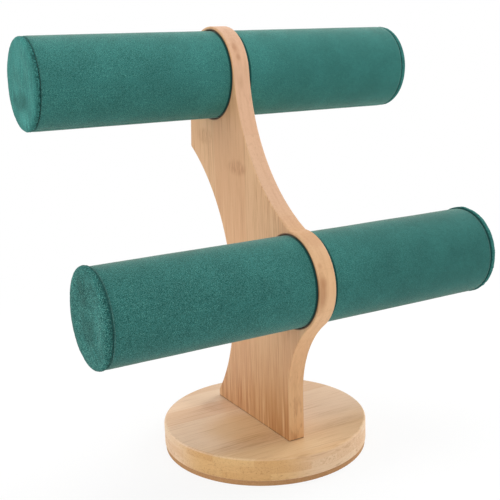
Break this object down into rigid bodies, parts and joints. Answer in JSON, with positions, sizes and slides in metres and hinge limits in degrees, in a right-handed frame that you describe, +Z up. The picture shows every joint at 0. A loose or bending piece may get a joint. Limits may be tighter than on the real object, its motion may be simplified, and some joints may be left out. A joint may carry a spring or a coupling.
{
  "type": "bracelet display",
  "caption": "Free-standing bamboo bracelet display: a round base and an S-shaped board whose rings hold suede-covered bars, one in front and below, one behind and above.",
  "frame": {"origin": "on the floor, under the middle of the round base", "axes": "+X along the bars to the right as seen from the front, -Y towards the front, +Z up"},
  "size_m": [0.2967, 0.1739, 0.3031],
  "materials": {
    "bamboo": "satin clear-coated laminated bamboo with straight grain",
    "pad": "matte brown cork-rubber",
    "suede": "short-napped green suede cloth",
    "foam": "soft open foam sheet",
    "tube_card": "spiral-wound paper tube",
    "plug_board": "raw turned fibreboard",
    "screw_steel": "zinc-plated steel",
    "insert_brass": "plain turned brass"
  },
  "bodies": {
    "stand": {"base_disc": "bamboo", "base_pad": "pad", "upright": "bamboo", "base_screws": "screw_steel", "base_washers": "screw_steel", "foot_inserts": "insert_brass"},
    "upper_bar": {"upper_core_tube": "tube_card", "upper_foam_wrap": "foam", "upper_cloth_sleeve": "suede", "upper_left_end_plug": "plug_board", "upper_left_end_cover": "suede", "upper_right_end_plug": "plug_board", "upper_right_end_cover": "suede"},
    "lower_bar": {"lower_core_tube": "tube_card", "lower_foam_wrap": "foam", "lower_cloth_sleeve": "suede", "lower_left_end_plug": "plug_board", "lower_left_end_cover": "suede", "lower_right_end_plug": "plug_board", "lower_right_end_cover": "suede"}
  },
  "joints": [
    {"name": "upper_bar_slide", "type": "slide", "parent": "stand", "child": "upper_bar", "axis": [1, 0, 0], "range_m": [-0.135, 0.135]},
    {"name": "lower_bar_slide", "type": "slide", "parent": "stand", "child": "lower_bar", "axis": [1, 0, 0], "range_m": [-0.135, 0.135]}
  ]
}
